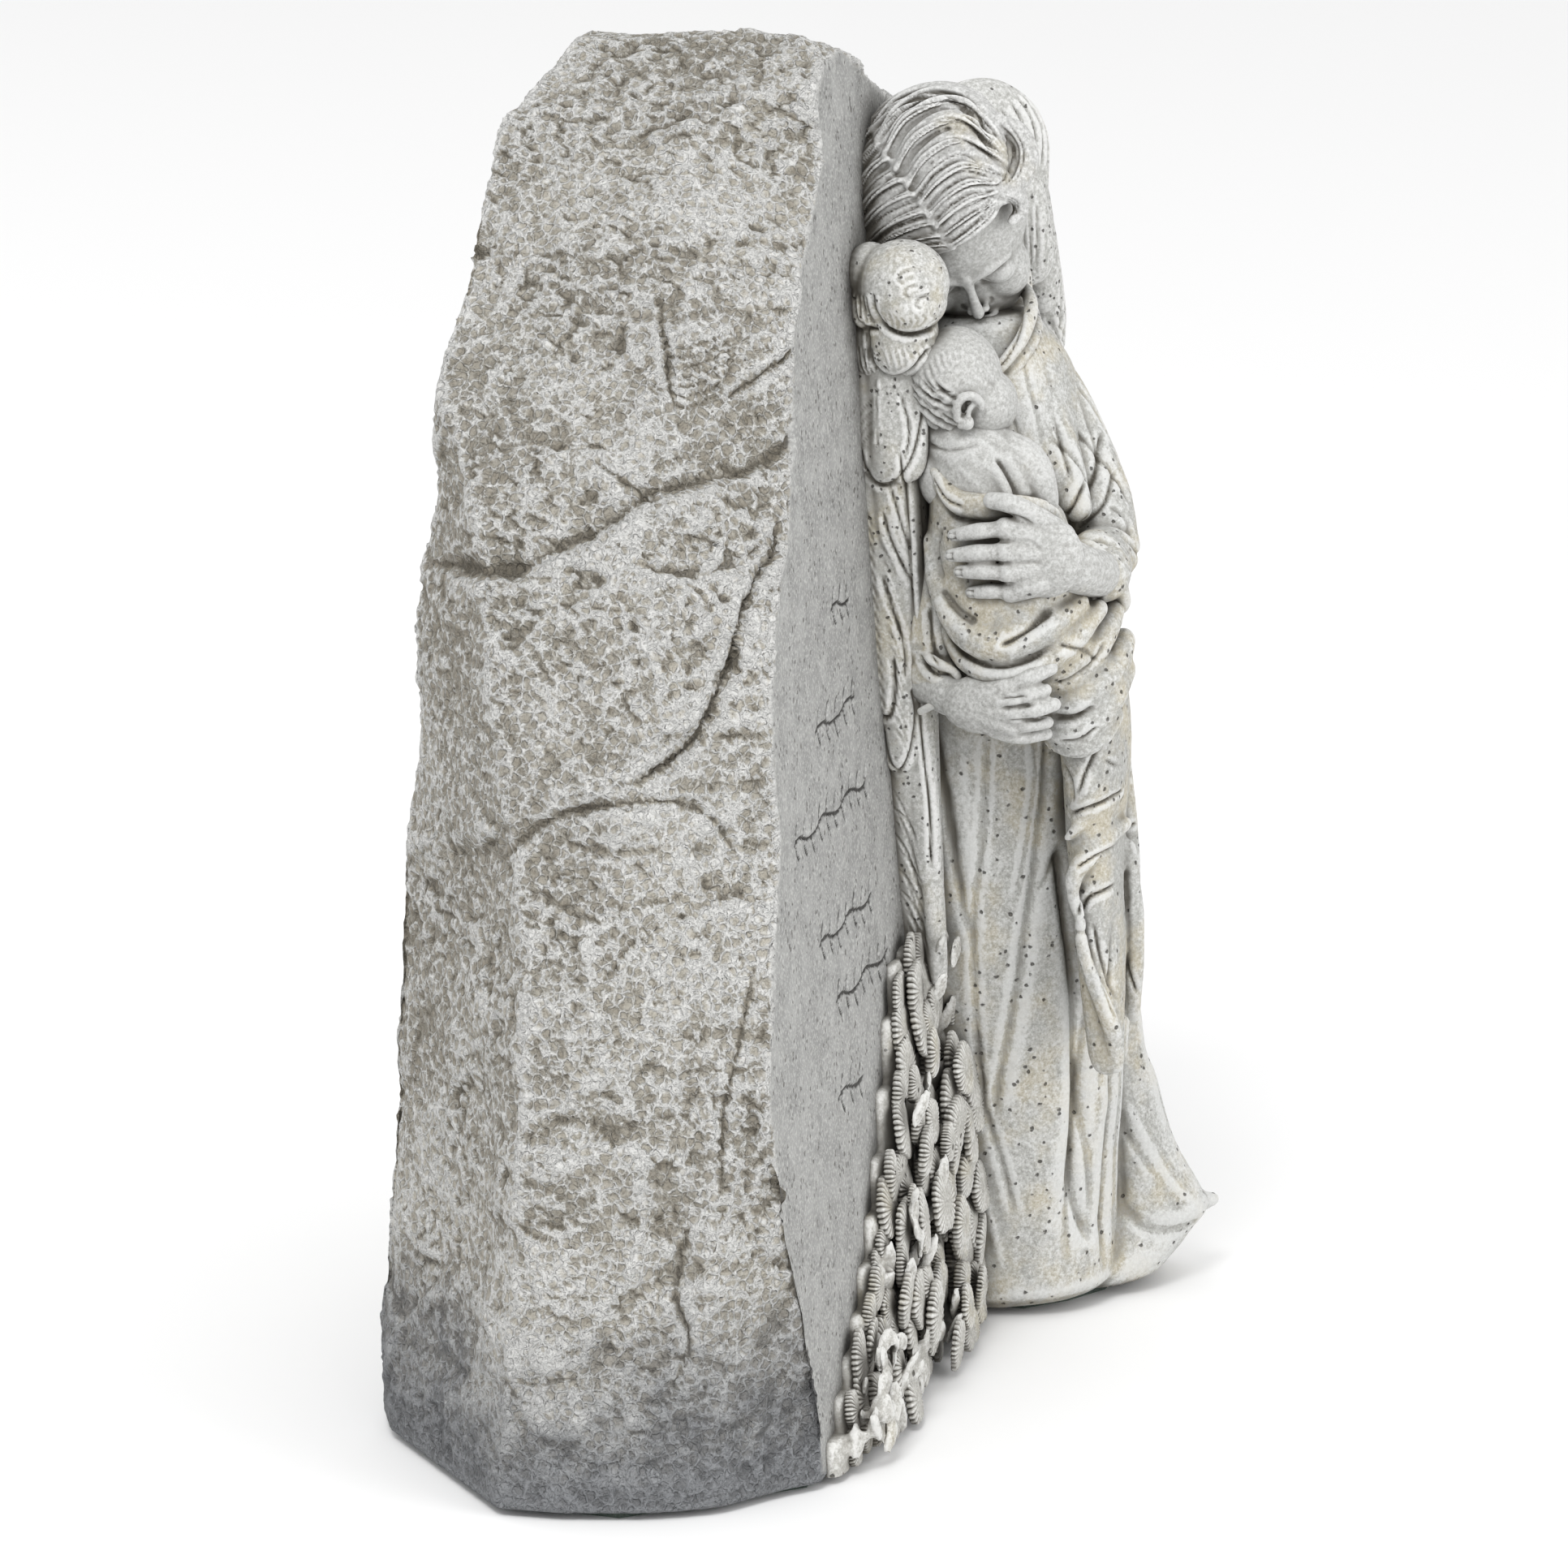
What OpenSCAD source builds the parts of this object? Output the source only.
// Resin angel figurine: an angel holding a child, in high relief on the leaning face of a rough stone.
// Row frame: X along the stone's face, Y from front to back, Z up, origin on the underside of the felt
// sheet at the centre of the stone's footprint. Millimetres.

/* [Stone] */
// Height of the stone casting above the felt
stone_h = 293; // [270:1:350]
// Width of the stone at its widest
stone_w = 226; // [200:1:280]
// Depth of the stone at its foot
stone_d = 105; // [85:1:130]
// Angle that the front face leans back
face_lean = 4.5; // [3:0.5:6]
// Thickness of the hollow casting's wall
stone_wall = 10; // [8:0.5:12]

/* [Base] */
// Thickness of the felt sheet
felt_t = 1.5; // [1:0.1:3]
// How far the felt stops short of the castings' edges
felt_inset = 4; // [2:0.5:8]
// Thickness of the plate that closes the hollow
plate_t = 6; // [4:0.5:10]
// Width of the ledge that the plate seats on
plate_ledge = 4; // [2:0.5:6]
// Glue gap round the plate
plate_gap = 0.25; // [0.1:0.05:0.5]

/* [Figure] */
// Height of the angel, measured up the stone's face
figure_h = 275; // [230:1:300]
// From the stone's right edge to the angel's axis
figure_inset = 49; // [45:1:70]
// Glue gap between bonded castings
bond = 0.1; // [0.05:0.05:0.3]

/* [Dowels] */
// Diameter of the steel dowels that key the figure to the stone
dowel_d = 5; // [3:0.5:6]
// Length of a dowel
dowel_l = 14; // [12:1:16]
// Radial clearance of a dowel in its bores
dowel_fit = 0.05; // [0.02:0.01:0.1]

/* [Flowers] */
// Radius of a flower head
flower_r = 7; // [5:0.5:9]
// Thickness of a flower head
flower_t = 4; // [3:0.5:6]
// Thickness of the leafy bank behind the flowers
bank_t = 5; // [3:0.5:7]

/* [Engraving] */
// Depth of the engraved sprigs
engrave_t = 0.8; // [0.4:0.1:1.5]

/* [Hidden] */

drawn_h = 275;                 // height that the figure's points below are drawn at
fs = figure_h / drawn_h;       // scale of the figure
figure_x = stone_w / 2 - figure_inset;
face_y = -stone_d / 2;         // foot of the stone's face
far = 600;                     // longer than anything here
facets = 18;                   // facets round a sculpted form

stone_tint = [0.66, 0.65, 0.62];
robe_tint = [0.74, 0.74, 0.71];
skin_tint = [0.78, 0.78, 0.75];
wing_tint = [0.72, 0.72, 0.70];
leaf_tint = [0.66, 0.67, 0.62];
felt_tint = [0.23, 0.28, 0.24];
steel_tint = [0.70, 0.71, 0.73];

// ---------------------------------------------------------------- frames and helpers

// The stone's face: x along it, y into the stone, z up it
module on_face(x = 0) {
    translate([x, face_y, felt_t]) rotate([-face_lean, 0, 0]) children();
}

// The figure's frame: the face's, about the angel's axis, at the figure's scale
module figure() {
    on_face(figure_x) scale(fs) children();
}

// Everything in front of the face and above the felt, less the glue gap
module in_relief() {
    intersection() {
        children();
        on_face() translate([-far / 2, -far, -far / 2]) cube([far, far - bond, far]);
        translate([-far / 2, -far / 2, felt_t]) cube(far);
    }
}

module ball(p, r) {
    translate(p) scale(is_list(r) ? r / r[0] : 1) sphere(is_list(r) ? r[0] : r, $fn = facets);
}

// A limb: spheres p[i] of radius r[i], each joined to the next
module limb(p, r) {
    for (i = [0 : len(p) - 2])
        hull() {
            ball(p[i], is_list(r) ? r[i] : r);
            ball(p[i + 1], is_list(r) ? r[i + 1] : r);
        }
}

// An upright form: rows of [z, centre x, centre y, radius x, radius y], each joined to the next
module column(rows) {
    for (i = [0 : len(rows) - 2])
        hull() {
            disc(rows[i]);
            disc(rows[i + 1]);
        }
}

module disc(row) {
    translate([row[1], row[2], row[0]])
        scale([row[3], row[4], 1]) cylinder(r = 1, h = 0.5, $fn = 24);
}

// A feather hanging from p, w wide, l long and t thick, its flat turned by yaw about the vertical
module feather(p, w, l, t, yaw = 0, tip = 0) {
    translate(p) rotate([0, tip, yaw])
        hull() {
            translate([0, 0, -w / 2]) rotate([90, 0, 0]) cylinder(r = w / 2, h = t, center = true, $fn = 16);
            translate([0, 0, w / 2 - l]) rotate([90, 0, 0]) cylinder(r = w / 2.4, h = t, center = true, $fn = 16);
        }
}

// ---------------------------------------------------------------- stone

sx = stone_w / 226;            // stretch of the drawn outlines below
sz = stone_h / 293;

// The face's outline as [x, z], clockwise from the left foot
face_line = [[-86, 0], [-103, 56], [-104, 90], [-88, 121], [-80, 152], [-68, 185], [-45, 214],
             [-37, 237], [-9, 262], [15, 289], [38, 278], [64, 270], [88, 254], [102, 226],
             [109, 180], [111, 110], [108, 50], [98, 0]];
// The stone's widest outline, behind the face, and its back
girth_line = [[-118, 0], [-117, 60], [-114, 100], [-98, 140], [-86, 180], [-66, 214], [-46, 246],
              [-14, 276], [8, 293], [36, 286], [68, 274], [94, 250], [107, 215], [112, 160],
              [113, 90], [110, 0]];
back_line = [[-64, 0], [-84, 60], [-80, 120], [-62, 180], [-40, 235], [-8, 276], [18, 284],
             [52, 268], [78, 230], [90, 160], [94, 80], [88, 0]];

// Shares of the depth at which the girth starts and ends, its shrink at the end, and the back's lean forward
girth_start = 0.34;
girth_end = 0.62;
girth_shrink = 0.97;
back_lean = 5;

// An outline stood at depth y, drawn in towards the middle by shrink and leaning by lean
function line_at(line, y, lean, shrink = 1) =
    [for (p = line) [p.x * sx * shrink, y + p.y * sz * tan(lean), p.y * sz * shrink]];

stone_points = concat(line_at(face_line, face_y, face_lean),
                      line_at(girth_line, face_y + girth_start * stone_d, 0),
                      line_at(girth_line, face_y + girth_end * stone_d, 0, girth_shrink),
                      line_at(back_line, face_y + stone_d, -back_lean));

// Faces that touch every point, for a hull to be taken over them
touch_all = [for (i = [0 : len(stone_points) - 3]) [i, i + 1, i + 2]];

module stone_block() {
    translate([0, 0, felt_t]) hull() polyhedron(stone_points, touch_all);
}

// The hollow keeps the wall's thickness on every side: the outer points drawn in by it
function drawn_in(p) =
    [p.x * (1 - 2 * (stone_wall + 3) / (stone_w * 0.9)),
     p.y * (1 - 2 * (stone_wall + 2) / (stone_d * 0.8)),
     p.z * (1 - (stone_wall + 8) / stone_h)];

module stone_hollow() {
    translate([0, 0, felt_t - 0.01]) hull() polyhedron([for (p = stone_points) drawn_in(p)], touch_all);
}

// Outline of the plate, inside the stone's footprint
plate_line = [for (p = [[-92, 8], [-84, -32], [-66, -40], [84, -40], [96, -10], [92, 24], [74, 38], [-70, 38]])
              [p.x * sx, p.y * stone_d / 105]];

module plate_outline(gap = 0) {
    offset(delta = gap) polygon(plate_line);
}

// Rows of engraved sprigs: [height up the face, middle, half length]
sprig_rows = [[170, -15, 11], [150, -26, 22], [132, -36, 36], [108, -30, 28], [92, -21, 28], [73, -38, 14]];
sprig_pitch = 5;

module engraving() {
    on_face()
        for (row = sprig_rows, x = [-row[2] : sprig_pitch : row[2]])
            translate([(row[1] + x) * sx, engrave_t, row[0] * sz])
                rotate([90, 35, 0]) linear_extrude(2 * engrave_t) square([1.2, 5], center = true);
}

// Dowel places, [x, z] in the face's frame
dowel_at = [[figure_x, 60 * fs], [figure_x, 130 * fs], [figure_x - 8 * fs, 195 * fs]];

module dowel_set(r, l) {
    on_face()
        for (p = dowel_at)
            translate([p[0], 0, p[1]]) rotate([90, 0, 0]) cylinder(r = r, h = l, center = true, $fn = 40);
}

module stone() {
    color(stone_tint) difference() {
        intersection() {
            stone_block();
            translate([-far / 2, -far / 2, felt_t]) cube(far);
        }
        intersection() {
            stone_hollow();
            translate([-far / 2, -far / 2, felt_t + plate_t]) cube(far);
        }
        translate([0, 0, felt_t - 1]) linear_extrude(plate_t + 1 + plate_gap) plate_outline(plate_gap);
        engraving();
        dowel_set(dowel_d / 2 + dowel_fit, dowel_l + 0.6);
    }
}

module base_plate() {
    color(stone_tint) translate([0, 0, felt_t]) linear_extrude(plate_t) plate_outline();
}

// Outlines on the felt: the stone's foot, where its outlines meet the ground, and the skirt's foot
foot_line = [for (p = stone_points) if (p.z == 0) [p.x, p.y]];
skirt_foot = [[-14, 8], [-14, -14], [-4, -24], [8, -31], [24, -32], [34, -18], [34, 8]];

module base_felt() {
    color(felt_tint) linear_extrude(felt_t) offset(delta = -felt_inset) {
        hull() polygon(foot_line);
        translate([figure_x, face_y]) scale(fs) polygon(skirt_foot);
    }
}

module dowels() {
    color(steel_tint) dowel_set(dowel_d / 2, dowel_l);
}

// ---------------------------------------------------------------- angel's body

skirt_rows = [[-6, 9, -2, 28, 30], [50, 3, -3, 31, 36], [90, 1, -4, 32, 38], [125, 0, -6, 30, 37],
              [156, 0, -12, 25, 28]];

module skirt_form() {
    column(skirt_rows);
    // folds that stand out of the skirt's near and front sides
    limb([[-26, -16, 120], [-14, -20, -4]], 6);
    limb([[-14, -33, 110], [-2, -24, -4]], 6);
    limb([[16, -34, 120], [24, -28, -4]], 6);
}

module skirt() {
    color(robe_tint) difference() {
        in_relief() figure() skirt_form();
        dowel_set(dowel_d / 2 + dowel_fit, dowel_l + 0.6);
    }
}

// The hem's train, swept out to the angel's left
module train_form() {
    limb([[18, -24, 52], [22, -34, 12], [26, -40, 4], [29, -43, 9]], [5, 8, 6, 3]);
    limb([[26, -40, 4], [34, -30, 2], [40, -12, 1]], [6, 6, 5]);
    limb([[22, -34, 12], [32, -24, 8], [38, -8, 6]], [8, 7, 5]);
}

module train() {
    color(robe_tint) difference() {
        in_relief() figure() train_form();
        figure() with_gap() skirt_form();
    }
}

// A cutter widened by the glue gap: copies of the form, shifted apart
module with_gap() {
    for (s = [-1, 1]) translate([s * bond / 2, 0, 0]) children();
}

torso_rows = [[156.7, 0, -12, 25, 28], [176, -2, -16, 25, 27], [196, -5, -19, 25, 23], [211, -7, -20, 25, 17],
              [219, -9, -20, 18, 12], [225, -10, -20, 10, 9]];

module bodice_form() {
    column(torso_rows);
    // the shoulder towards the far wing
    limb([[4, -26, 210], [10, -12, 204]], 9);
}

module bodice() {
    color(robe_tint) difference() {
        in_relief() figure() bodice_form();
        dowel_set(dowel_d / 2 + dowel_fit, dowel_l + 0.6);
    }
}

// The rolled neckline
collar_ring = [[0, -12, 226], [-1, -22, 228], [-10, -30, 227], [-20, -31, 223], [-28, -25, 218], [-28, -16, 220],
               [-22, -9, 224]];

module collar_form() {
    limb(collar_ring, 2.6);
}

module collar() {
    color(robe_tint) in_relief() figure() difference() {
        collar_form();
        bodice_form();
        neck_form();
        with_gap() near_wing_crest_form();
    }
}

head_mid = [-18, -15, 252];
face_turn = 42;                // turn of the face from straight left towards the front
face_bow = 38;                 // bow of the head

module neck_form() {
    limb([[-9, -19, 219], [-13, -17, 240]], [8, 8]);
}

// The head's own frame: face towards -x, crown up
module head_frame() {
    translate(head_mid) rotate([0, 0, face_turn]) rotate([0, -face_bow, 0]) children();
}

module skull_form() {
    head_frame() {
        hull() {
            ball([0, 0, 4], [19, 15.5, 17]);
            ball([-8, 0, -12], [9, 9.5, 10]);
        }
        hull() {
            ball([-18, 0, 0], 1.6);
            ball([-22, 0, -8.5], 2.2);
        }
    }
}

module head() {
    color(skin_tint) in_relief() figure() difference() {
        union() {
            neck_form();
            skull_form();
        }
        with_gap() bodice_form();
    }
}

module hair_form() {
    head_frame() {
        hull() {
            ball([3, 0, 6], [19.5, 18.5, 18]);
            ball([8, 0, -6], [12, 15, 12]);
        }
    }
    // the roll at the nape
    limb([[-16, -29, 262], [-15, -31, 254], [-10, -29, 246]], [4, 5, 4]);
}

module hair() {
    color(skin_tint) in_relief() figure() difference() {
        hair_form();
        with_gap() skull_form();
        with_gap() neck_form();
        with_gap() bodice_form();
        collar_form();
        // the face stays open
        head_frame() translate([-24, 0, -8]) rotate([0, 18, 0]) cube([34, 60, 30], center = true);
    }
}

// ---------------------------------------------------------------- arms

module left_sleeve_form() {
    limb([[0, -27, 208], [-4, -34, 197], [-10, -41, 180], [-17, -44, 171]], [7.4, 8.5, 8, 7]);
    limb([[-17, -44, 171], [-30, -45, 174]], [7, 6]);
}

module left_sleeve() {
    color(robe_tint) in_relief() figure() difference() {
        left_sleeve_form();
        with_gap() bodice_form();
        with_gap() skirt_form();
        with_gap() blanket_form();
    }
}

module left_cuff_form() {
    limb([[-30.5, -45, 174], [-37, -45, 175]], [7.4, 7.6]);
}

module left_cuff() {
    color(robe_tint) in_relief() figure() difference() {
        left_cuff_form();
        with_gap() left_sleeve_form();
        with_gap() blanket_form();
        with_gap() bodice_form();
        keep_mesh();
    }
}

// Fingertips, knuckles and wrist of the angel's left hand, thumb first
left_tips = [[-52, -28, 194], [-54, -19, 186.5], [-56, -18.5, 182], [-56, -20.5, 177.5], [-54, -23, 173]];
left_knuckles = [[-51, -38, 188], [-54, -34, 187], [-55.5, -34, 182.5], [-55.5, -34.5, 178], [-54, -35.5, 173.5]];
left_wrist = [-42, -45, 177];

module hand_form(tips, knuckles, wrist, r) {
    for (i = [0 : 4]) {
        limb([tips[i], knuckles[i]], [r * 0.85, r]);
        limb([knuckles[i], wrist], [r * 1.15, r * 1.9]);
    }
}

module left_hand() {
    color(skin_tint) in_relief() figure() difference() {
        hand_form(left_tips, left_knuckles, left_wrist, 2.3);
        with_gap() left_cuff_form();
        with_gap() left_sleeve_form();
        with_gap() blanket_form();
        with_gap() child_body_form();
        with_gap() bodice_form();
    }
}

module right_sleeve_form() {
    limb([[-24, -10, 200], [-32, -9, 180], [-36, -9, 162], [-40, -10, 154]], [7.5, 6.5, 6, 6]);
    limb([[-40, -10, 154], [-45, -13, 150]], [6, 5.5]);
}

module right_sleeve() {
    color(robe_tint) in_relief() figure() difference() {
        right_sleeve_form();
        with_gap() bodice_form();
        with_gap() skirt_form();
        with_gap() blanket_form();
        near_wing_cut();
    }
}

right_tips = [[-50, -42, 160], [-51, -42, 155.5], [-51, -42, 150.5], [-50, -39, 146], [-49, -35, 142.5]];
right_knuckles = [[-52, -33, 158], [-54, -31, 154], [-54.5, -30, 150], [-53.5, -28, 146.5], [-51.5, -26, 143.5]];
right_wrist = [-48, -15, 148];

module right_hand() {
    color(skin_tint) in_relief() figure() difference() {
        hand_form(right_tips, right_knuckles, right_wrist, 2.3);
        with_gap() right_sleeve_form();
        with_gap() blanket_form();
        with_gap() child_body_form();
        with_gap() skirt_form();
        with_gap() blanket_tail_form();
        near_wing_cut();
    }
}

// ---------------------------------------------------------------- wings

// Tiers of short feathers over the near wing's shoulder: [place, width, length, thickness, turn]
crest_tiers = [[[-45, -11, 252], 17, 26, 12], [[-47, -9, 240], 18, 24, 11], [[-47, -8, 228], 17, 26, 10]];

module near_wing_crest_form() {
    for (c = crest_tiers)
        hull() {
            ball(c[0] - [0, 0, 6], [c[1] / 2.2, c[3] / 1.3, 8]);
            ball(c[0] - [0, 0, c[2] - 7], [c[1] / 2.4, c[3] / 1.5, 6]);
        }
    limb([[-46, -10, 246], [-36, -8, 240], [-28, -6, 226]], [6, 6, 5]);
}

module near_wing_feathers_form() {
    for (i = [0 : 5])
        feather([-47 + 3.2 * i, -6.4 + 0.5 * i, 218 - 2 * i], 10, 92 - 5 * i, 4, -24);
    for (i = [0 : 4])
        feather([-45 + 3.4 * i, -4.2 + 0.3 * i, 160 - 2 * i], 9, 78 - 8 * i, 3.4, -14);
}

module near_wing_cut() {
    with_gap() near_wing_crest_form();
    with_gap() near_wing_feathers_form();
}

module near_wing_crest() {
    color(wing_tint) in_relief() figure() difference() {
        near_wing_crest_form();
        with_gap() bodice_form();
        with_gap() hair_form();
        with_gap() skull_form();
        keep_mesh();
    }
}

module near_wing_feathers() {
    color(wing_tint) in_relief() figure() difference() {
        near_wing_feathers_form();
        with_gap() near_wing_crest_form();
        with_gap() bodice_form();
        with_gap() skirt_form();
    }
}

module far_wing_crest_form() {
    limb([[2, -8, 246], [10, -9, 262], [20, -10, 268], [30, -11, 260], [34, -12, 246]], [6, 7, 8, 8, 7]);
    limb([[34, -12, 246], [34, -13, 230]], [7, 6]);
}

module far_wing_feathers_form() {
    for (i = [0 : 6])
        feather([10 + 4.2 * i, -6 - 0.8 * i, 256 - 2.4 * i], 11, 70 + 10 * i, 4.5, 14);
    for (i = [0 : 3])
        feather([24 + 4 * i, -4, 190 - 3 * i], 10, 92 - 6 * i, 3.6, 6);
}

module far_wing_crest() {
    color(wing_tint) in_relief() figure() difference() {
        far_wing_crest_form();
        with_gap() hair_form();
        with_gap() skull_form();
        with_gap() bodice_form();
        with_gap() left_sleeve_form();
        keep_mesh();
    }
}

module far_wing_feathers() {
    color(wing_tint) in_relief() figure() difference() {
        far_wing_feathers_form();
        with_gap() far_wing_crest_form();
        with_gap() bodice_form();
        with_gap() skirt_form();
        with_gap() hair_form();
        with_gap() skull_form();
        with_gap() neck_form();
        with_gap() collar_form();
        with_gap() left_sleeve_form();
        with_gap() train_form();
    }
}

// ---------------------------------------------------------------- child

child_mid = [-40, -22, 215];

module child_head_form() {
    hull() {
        ball(child_mid + [0, 3, 3], [12, 11, 11]);
        ball(child_mid + [3, -4, -6], [8, 8, 7]);
    }
}

module child_head() {
    color(skin_tint) in_relief() figure() difference() {
        union() {
            child_head_form();
            // ear
            limb([[-51, -24, 214], [-52, -23.5, 210]], [1.6, 1.4]);
        }
        with_gap() skull_form();
        with_gap() bodice_form();
        with_gap() collar_form();
        with_gap() child_body_form();
        near_wing_cut();
        keep_mesh();
    }
}

module child_body_form() {
    limb([[-42, -18, 202], [-42, -25, 194], [-42, -28, 180]], [8, 11, 12]);
    limb([[-42, -34, 198], [-42, -37, 190]], [6, 5]);
}

module child_body() {
    color(skin_tint) in_relief() figure() difference() {
        child_body_form();
        with_gap() bodice_form();
        with_gap() blanket_form();
        near_wing_cut();
        keep_mesh();
    }
}

module blanket_form() {
    limb([[-40, -20, 186], [-41, -24, 176], [-38, -32, 166], [-32, -38, 158]], [12, 14.5, 13.5, 10]);
    limb([[-40, -18, 190], [-44, -27, 187], [-42, -36, 186]], [9, 8, 7]);
}

module blanket() {
    color(robe_tint) in_relief() figure() difference() {
        blanket_form();
        with_gap() bodice_form();
        with_gap() skirt_form();
        near_wing_cut();
    }
}

// The blanket's loose end, hanging in front of the skirt
module blanket_tail_form() {
    limb([[-28, -40, 148], [-24, -41, 120], [-20, -40, 92], [-22, -38, 72]], [8, 7.5, 7, 5.5]);
    limb([[-18, -42, 146], [-12, -42, 118], [-9, -41, 88], [-8, -39, 64]], [7, 7, 6.5, 5]);
}

module blanket_tail() {
    color(robe_tint) in_relief() figure() difference() {
        blanket_tail_form();
        with_gap() skirt_form();
        with_gap() bodice_form();
        with_gap() blanket_form();
        with_gap() left_sleeve_form();
    }
}

// ---------------------------------------------------------------- flowers

bank_line = [[-84, 2], [-74, 20], [-46, 40], [-20, 66], [-4, 88], [18, 94], [64, 94], [64, 2]];

module bank_outline() {
    translate([figure_x - 64, 0]) polygon(bank_line);
}

module flower_bank() {
    color(leaf_tint) difference() {
        in_relief() on_face() rotate([90, 0, 0]) linear_extrude(bank_t) bank_outline();
        figure() with_gap() {
            skirt_form();
            near_wing_feathers_form();
        }
    }
}

// Flower heads stand on the bank in staggered rows, clear of its edges and of the figure
flower_pitch = 2 * flower_r + 1;
flower_rows = [[9, -70, 20], [22, -62, 16], [35, -42, 10], [48, -28, 8], [61, -14, 8], [74, -4, 6]];

module flower_heads() {
    color(leaf_tint) on_face(figure_x - 64)
        for (i = [0 : len(flower_rows) - 1])
            for (x = [flower_rows[i][1] : flower_pitch : flower_rows[i][2]])
                translate([x, -bank_t - bond, flower_rows[i][0] * (flower_pitch / 15)])
                    rotate([90, 0, 0]) cylinder(r = flower_r, h = flower_t, $fn = 48);
}

// Small cubes far from the work, for a node whose every hull is to stay one faceted form
module keep_mesh() {
    for (i = [0 : 7]) translate([far, far, far + 3 * i]) hull() cube(1);
}

stone();
base_plate();
base_felt();
dowels();
skirt();
train();
bodice();
collar();
head();
hair();
left_sleeve();
left_cuff();
left_hand();
right_sleeve();
right_hand();
near_wing_crest();
near_wing_feathers();
far_wing_crest();
far_wing_feathers();
child_head();
child_body();
blanket();
blanket_tail();
flower_bank();
flower_heads();
